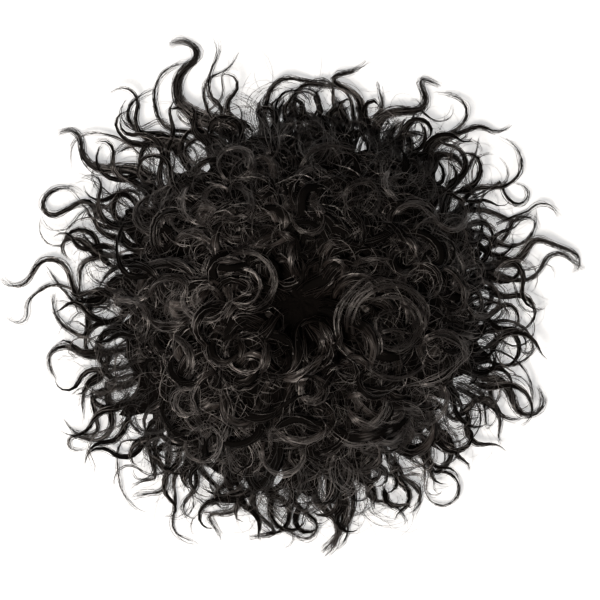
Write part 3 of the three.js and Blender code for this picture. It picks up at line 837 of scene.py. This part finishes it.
def surface_up(path):
    """Direction straight out of the body below each point of a path."""
    x, y = path[:, 0], path[:, 1]
    slope_x = (body_top(x + slope_step, y) - body_top(x - slope_step, y)) / (2 * slope_step)
    slope_y = (body_top(x, y + slope_step) - body_top(x, y - slope_step)) / (2 * slope_step)
    return unit(np.column_stack([-slope_x, -slope_y, np.ones(len(path))]))


def body_guide(root, heading, bends, width, ride_height, rise, slope, shade):
    """A lock over the body whose ring leans: one side stands up by the slope and the other dips under."""
    path = bend_path(root, heading, bends, curl_spacing, curl_softening)
    along = np.linspace(0, 1, len(path))
    half_width = width * np.minimum(1, root_width + 2 * along) * (1 - end_narrowing * along ** 3)
    points = lay_on_body(path, ride_height, rise, curl_sunk_share, half_width)
    lean = random.uniform(0, math.tau)
    from_middle = path - path[along > ring_from].mean(axis=0)
    side = from_middle[:, 0] * math.cos(lean) + from_middle[:, 1] * math.sin(lean)
    leaning = points[:, 2] + slope * side * np.minimum(1, along * 2)
    points[:, 2] = np.maximum(leaning, half_width + table_gap)
    return make_guide(points, half_width, curl_flatness, surface_up(path), curl_hairs, shade)


def ring_bends(size, spin, turns):
    """A ring drawn as four uneven bends a turn, closing in a little as it goes round."""
    bends = []
    for quarter in range(round(turns * 4)):
        turn = 90 * (1 + random.normal(0, ring_unevenness))
        length = math.pi / 2 * size * (ring_opening - ring_closing * quarter)
        length *= 1 + random.normal(0, ring_unevenness)
        bends.append((spin * turn, max(shortest_bend, length)))
    return bends


def arc_guide(row):
    """A crescent or ring on top of the body: its middle stands up and its ends sink between the others."""
    across, up, size, start, sweep, width, shade = row
    count = max(fewest_steps, round(math.radians(abs(sweep)) * size * curl_radius / curl_spacing))
    along = np.linspace(0, 1, count + 1)
    angle = np.radians(start + sweep * along)
    radius = size * curl_radius * (1 - arc_closing * along * abs(sweep) / 360)
    wobble = 1 + random.normal(0, arc_wobble) * np.sin(angle * 2 + random.uniform(0, math.tau))
    around = np.column_stack([np.cos(angle), np.sin(angle)]) * (radius * wobble)[:, None]
    path = np.array([across, up]) * body_radius + around
    middle = np.sin(math.pi * along)
    full = np.sin(math.pi * (arc_end_start + (1 - 2 * arc_end_start) * along))
    half_width = width * arc_width / 2 * (arc_end + (1 - arc_end) * full)
    height = body_top(path[:, 0], path[:, 1]) + arc_ride + arc_arch * (middle - arc_level)
    height -= arc_sink * (1 - middle) ** arc_sink_power
    points = np.column_stack([path, np.maximum(height, half_width + table_gap)])
    hairs = round(arc_hairs * width)
    return make_guide(points, half_width, curl_flatness, surface_up(path), hairs, shade * arc_light)


def painted_shade_kept_at(spot):
    """Share of its tone that a curl keeps at a spot of the crown, under the painted shade of the shaded
    places.
    """
    kept = 1.0
    for across, up, reach, lost in painted_shade_places:
        away = np.linalg.norm(spot / body_radius - np.array([across, up])) / reach
        kept *= 1 - lost * math.exp(-away ** 2)
    return kept


def seeded_curl(out, bearing):
    """A lock that waves away from the whorl and ends in a ring or a hook."""
    reach = reach_at(bearing)
    run = random.uniform(*curl_run)
    root = whorl + pointing(bearing) * max(whorl_hollow, out * reach - run * curl_radius)
    heading = bearing + random.normal(0, curl_veer)
    spin = random.choice([-1, 1])
    size = random.uniform(*curl_size)
    bends = [
        (-spin * random.uniform(*curl_first_turn), run * curl_bend_share),
        (spin * random.uniform(*curl_second_turn), run * curl_bend_share),
    ]
    bends += ring_bends(size, spin, random.choice(curl_rounds))
    # A curl's tone takes painted shade where it lies in one of the shaded places of the crown.
    return body_guide(
        root, heading, bends,
        width=curl_half_width * random.uniform(*curl_width),
        ride_height=random.uniform(*curl_ride),
        rise=random.uniform(*curl_rise),
        slope=random.uniform(*curl_slope),
        shade=curl_brightness * random.uniform(*curl_tone) ** 2 * painted_shade_kept_at(pointing(bearing) * out * reach),
    )


def hollow_tuft(number):
    """A short lock that starts in the whorl's hollow and bends out over its edge."""
    bearing = number * math.tau / tuft_count + random.normal(0, tuft_scatter)
    root = whorl + pointing(bearing) * random.uniform(*tuft_start) * whorl_width
    spin = random.choice([-1, 1])
    bends = [(spin * random.uniform(*turn), random.uniform(*length)) for turn, length in tuft_bends]
    return body_guide(
        root, bearing + random.normal(0, tuft_veer), bends,
        width=curl_half_width * random.uniform(*tuft_width), shade=random.uniform(*tuft_tone), **tuft_lie,
    )


def core_mesh(name, guides, shares):
    """Tubes along the locks, narrower than their hairs, with a map that runs round and along each."""
    points, faces, maps, shades = [], [], [], []
    angles = np.linspace(0, math.tau, core_sides, endpoint=False)
    for lock, guide in enumerate(guides):
        first = len(points)
        count = len(guide["points"])
        run = walked(guide["points"])
        for at, along in enumerate(guide["along"]):
            closing = min(1, core_end + core_tip_closing * (1 - along), core_end + core_root_opening * along)
            for angle in angles:
                spread = guide["aside"][at] * math.cos(angle) * shares[0] * closing
                spread = spread + guide["above"][at] * math.sin(angle) * shares[1] * closing
                points.append(guide["points"][at] + spread)
        shift = lock * core_map_step
        shades += [guide["shade"]] * count * core_sides
        for at in range(count - 1):
            for side in range(core_sides):
                near, far = first + at * core_sides, first + (at + 1) * core_sides
                after = (side + 1) % core_sides
                faces.append((near + side, near + after, far + after, far + side))
                left, right = shift + side / core_sides, shift + (side + 1) / core_sides
                maps += [(left, run[at]), (right, run[at]), (right, run[at + 1]), (left, run[at + 1])]
        last = first + (count - 1) * core_sides
        faces += [tuple(reversed(range(first, first + core_sides))), tuple(range(last, last + core_sides))]
        maps += [(shift, run[0])] * core_sides + [(shift, run[-1])] * core_sides
    mesh = bpy.data.meshes.new(name)
    mesh.from_pydata([tuple(map(float, point)) for point in points], [], faces)
    lock_map = mesh.uv_layers.new(name="lock")
    lock_map.data.foreach_set("uv", np.array(maps, dtype=np.float32).ravel())
    mesh.attributes.new("shade", "FLOAT", "POINT").data.foreach_set("value", shades)
    mesh.shade_smooth()
    return mesh


def make_core_material():
    """Stripes along the lock, broken by dark patches, with the lighter stripes the glossy ones."""
    gloss = {"Roughness": core_roughness, "Specular Tint": sheen_tint}
    material, tree, shader = new_material("packed hair", gloss)
    place = add_node(tree, "ShaderNodeUVMap", uv_map="lock")
    stretch = add_node(tree, "ShaderNodeMapping", core_stripes)
    stripes = add_node(tree, "ShaderNodeTexNoise", {"Scale": 1, "Detail": 4})
    long_way = add_node(tree, "ShaderNodeMapping", core_patches)
    patches = add_node(tree, "ShaderNodeTexNoise", {"Scale": 1, "Detail": 1})
    both = add_node(tree, "ShaderNodeMath", operation="MULTIPLY")
    # The lock's shade value brings in painted shade from the darker places of the crown, and on the widest
    # crescents partly a painted highlight.
    shade = add_node(tree, "ShaderNodeAttribute", attribute_name="shade")
    tone = add_node(tree, "ShaderNodeMath", {1: core_tone_gain, 2: core_tone_base}, operation="MULTIPLY_ADD")
    toned = add_node(tree, "ShaderNodeMath", operation="MULTIPLY")
    colour = add_ramp(tree, core_black_below, hair_black, core_brown_above, hair_brown)
    sheen = {"From Min": core_sheen_from, "From Max": core_brown_above, "To Min": 0, "To Max": core_sheen}
    streaks = add_node(tree, "ShaderNodeMapRange", sheen)
    relief = add_node(tree, "ShaderNodeBump", core_relief)
    wire(
        tree,
        (place, "UV", stretch, "Vector"),
        (stretch, "Vector", stripes, "Vector"),
        (place, "UV", long_way, "Vector"),
        (long_way, "Vector", patches, "Vector"),
        (stripes, "Fac", both, 0),
        (patches, "Fac", both, 1),
        (shade, "Fac", tone, 0),
        (both, 0, toned, 0),
        (tone, 0, toned, 1),
        (toned, 0, colour, "Fac"),
        (toned, 0, streaks, "Value"),
        (stripes, "Fac", relief, "Height"),
        (colour, "Color", shader, "Base Color"),
        (relief, "Normal", shader, "Normal"),
        (streaks, "Result", shader, "Specular IOR Level"),
    )
    return material


core_finish = make_core_material()
curls = [hollow_tuft(number) for number in range(tuft_count)]
for number in range(curl_count):
    out = innermost_curl + curl_field * math.sqrt((number + 0.5) / curl_count)
    curls.append(seeded_curl(out + random.normal(0, curl_scatter), number * golden_angle))
inner_curls = curls[:round(curl_count * ribbon_share)]
random.shuffle(curls)
share = len(curls) // 4 + 1
for number in range(4):
    group = curls[number * share:(number + 1) * share]
    sizes = {"Seed": 20 + number, "Hair width": curl_hair_width, "Frizz": curl_frizz}
    grow_hair(f"crown_curls_{number + 1}", group, sizes)
arc_guides = [arc_guide(row) for row in crown_arcs]
wide_arcs = [guide for guide, row in zip(arc_guides, crown_arcs) if row[5] > ribbon_from]
ribbon_mesh = core_mesh("crown_ribbons", inner_curls + wide_arcs, flat_core)
finish_hair(add_piece("crown_ribbons", ribbon_mesh, core_finish))
grow_hair("crown_arcs", arc_guides, {"Seed": 30, "Hair width": arc_hair_width, "Frizz": arc_frizz})

# Fringe curls
# Short thinner locks fill the space between the body and the loose locks: hooks, waves and small rings
# that lie partly on the body and partly on the table. Every other one and all the loose locks have a round
# core of packed hair in them.
fringe_count = 280
fringe_hairs = 7
fringe_half_width = 0.0022
fringe_flatness = 0.8
fringe_taper = 0.9
fringe_spacing = curl_spacing * 0.9
fringe_sunk_share = 0.2
fringe_frizz = {"Frizz": 0.005, "Frizz scale": 32.0}
thick_every = 2
thick_hairs = 14
thick_width = 1.65

# How far the fringe runs out at every thirty degrees, counterclockwise from the right, and what one lock
# may have: its start as a share of the body's reach, its veer, and for each bend its turn and radius.
fringe_run = (0.9, 1.0, 0.6, 0.45, 1.0, 1.1, 0.8, 1.0, 0.7, 0.85, 0.6, 1.1)
fringe_from = 0.74
fringe_to = 0.94
to_by_run = 0.1
thick_veer = 0.45
thin_veer = 0.6
thin_width = (0.35, 1.4)
fringe_bends = (((20, 80), (0.9, 1.6)), ((50, 150), (0.7, 1.3)), ((40, 180), (0.45, 1.0)))
fringe_ride = (-0.003, 0.003)
fringe_rise = (-0.002, 0.004)
fringe_tone = (0.1, 0.55)


def seeded_fringe(number):
    """A lock across the body's edge, longer where the fringe runs further out."""
    bearing = math.tau * (number + random.random()) / fringe_count
    thick = number % thick_every == 0
    count = len(fringe_run)
    run = np.interp(bearing / math.tau * count % count, range(count + 1), fringe_run + fringe_run[:1])
    root = pointing(bearing) * reach_at(bearing) * random.uniform(fringe_from, fringe_to + to_by_run * run)
    heading = bearing + random.normal(0, thick_veer if thick else thin_veer)
    spin = random.choice([-1, 1])
    last_spin = spin * random.choice([-1, 1])
    bends = []
    for way, (turns, radii) in zip((-spin, spin, last_spin), fringe_bends):
        turn = random.uniform(*turns)
        bends.append((way * turn, math.radians(turn) * (random.uniform(*radii) * run)))
    path = bend_path(root, heading, bends, fringe_spacing, curl_softening)
    along = np.linspace(0, 1, len(path))
    taper = tip_share + (1 - tip_share) * (1 - along) ** fringe_taper
    half_width = fringe_half_width * (thick_width if thick else random.uniform(*thin_width)) * taper
    ride_height, rise = random.uniform(*fringe_ride), random.uniform(*fringe_rise)
    points = lay_on_body(path, ride_height, rise, fringe_sunk_share, half_width)
    hairs = thick_hairs if thick else fringe_hairs
    # A fringe lock's tone takes painted shade where its root lies in one of the shaded places of the crown.
    shade = random.uniform(*fringe_tone) * painted_shade_kept_at(root)
    return make_guide(points, half_width, fringe_flatness, surface_up(path), hairs, shade)


fringe = [seeded_fringe(number) for number in range(fringe_count)]
half = fringe_count // 2
grow_hair("fringe_curls_1", fringe[:half], {"Seed": 41, **fringe_frizz})
grow_hair("fringe_curls_2", fringe[half:], {"Seed": 42, **fringe_frizz})
cores = core_mesh("lock_cores", edge_guides + fringe[::thick_every], round_core)
finish_hair(add_piece("lock_cores", cores, core_finish))

# Stray hairs
# Single fine hairs stand off the locks all over and arc across the gaps and a little way out over the
# table. They are knotted to the net like the others, but curled or combed out of their lock.
stray_count = 2200
stray_width = 0.00018
stray_frizz = 0.003
stray_spread = 0.0003
stray_spacing = 0.0044
stray_softening = 4
stray_out = (0.15, 1.22)
stray_out_power = 0.6
stray_bends = (((30, 160), (0.7, 2.2)), ((-60, 150), (0.5, 1.6)))
stray_veer = 0.9
stray_height = 0.0006
stray_arch = 0.006
stray_lift = 0.005
stray_tone = (0.15, 0.8)
rim_tone = 0.4
rim_from = 0.9


def stray_guide(number):
    """One hair that arcs over the body, or over the table where it starts outside the body."""
    bearing = math.tau * (number + random.random()) / stray_count
    out = random.uniform(*stray_out) ** stray_out_power
    root = pointing(bearing) * reach_at(bearing) * out
    spin = random.choice([-1, 1])
    bends = [(spin * random.uniform(*turn), random.uniform(*length)) for turn, length in stray_bends]
    heading = bearing + random.normal(0, stray_veer)
    path = bend_path(root, heading, bends, stray_spacing, stray_softening)
    arch = np.sin(math.pi * np.linspace(0, 1, len(path)))
    height = stray_height + stray_arch * random.random() * arch
    if out < 1:
        height = np.maximum(height, body_top(path[:, 0], path[:, 1]) + stray_lift * arch)
    shade = random.uniform(*stray_tone) if out < rim_from else rim_tone
    spread = np.full(len(path), stray_spread)
    return make_guide(np.column_stack([path, height]), spread, 1, (0, 0, 1), 1, shade)


strays = [stray_guide(number) for number in range(stray_count)]
grow_hair("stray_hairs", strays, {"Seed": 51, "Hair width": stray_width, "Frizz": stray_frizz})

# Table and light
# The patch lies on a plain white matt table, evenly bright. A wide soft lamp lights it from above and a
# little from the near left, and weak light from all round fills the shadows.
table_size = 3.0
table_white = (0.8, 0.8, 0.8, 1)
table_roughness = 0.7
table_glow = 0.52
light_size = 0.5
light_power = 20
light_tint = (1, 0.94, 0.88)
light_place = (-0.4, -0.5, 1.4)
fill_strength = 0.12
plain_white = (1, 1, 1, 1)

table_mesh = bpy.data.meshes.new("table")
side = table_size / 2
corners = [(-side, -side, 0), (side, -side, 0), (side, side, 0), (-side, side, 0)]
table_mesh.from_pydata(corners, [], [(0, 1, 2, 3)])
table_look = {
    "Base Color": table_white,
    "Roughness": table_roughness,
    "Emission Color": plain_white,
    "Emission Strength": table_glow,
}
table = add_piece("table", table_mesh, new_material("white table", table_look)[0])

lamp_data = bpy.data.lights.new("softbox", "AREA")
lamp_data.size = light_size
lamp_data.energy = light_power
lamp_data.color = light_tint
lamp = bpy.data.objects.new("softbox", lamp_data)
lamp.location = light_place
lamp.rotation_euler = (-lamp.location).to_track_quat("-Z", "Y").to_euler()
scene.collection.objects.link(lamp)

world = bpy.data.worlds.new("studio")
world.use_nodes = True
fill = world.node_tree.nodes["Background"]
fill.inputs["Color"].default_value = plain_white
fill.inputs["Strength"].default_value = fill_strength
scene.world = world
scene.view_settings.view_transform = "Standard"
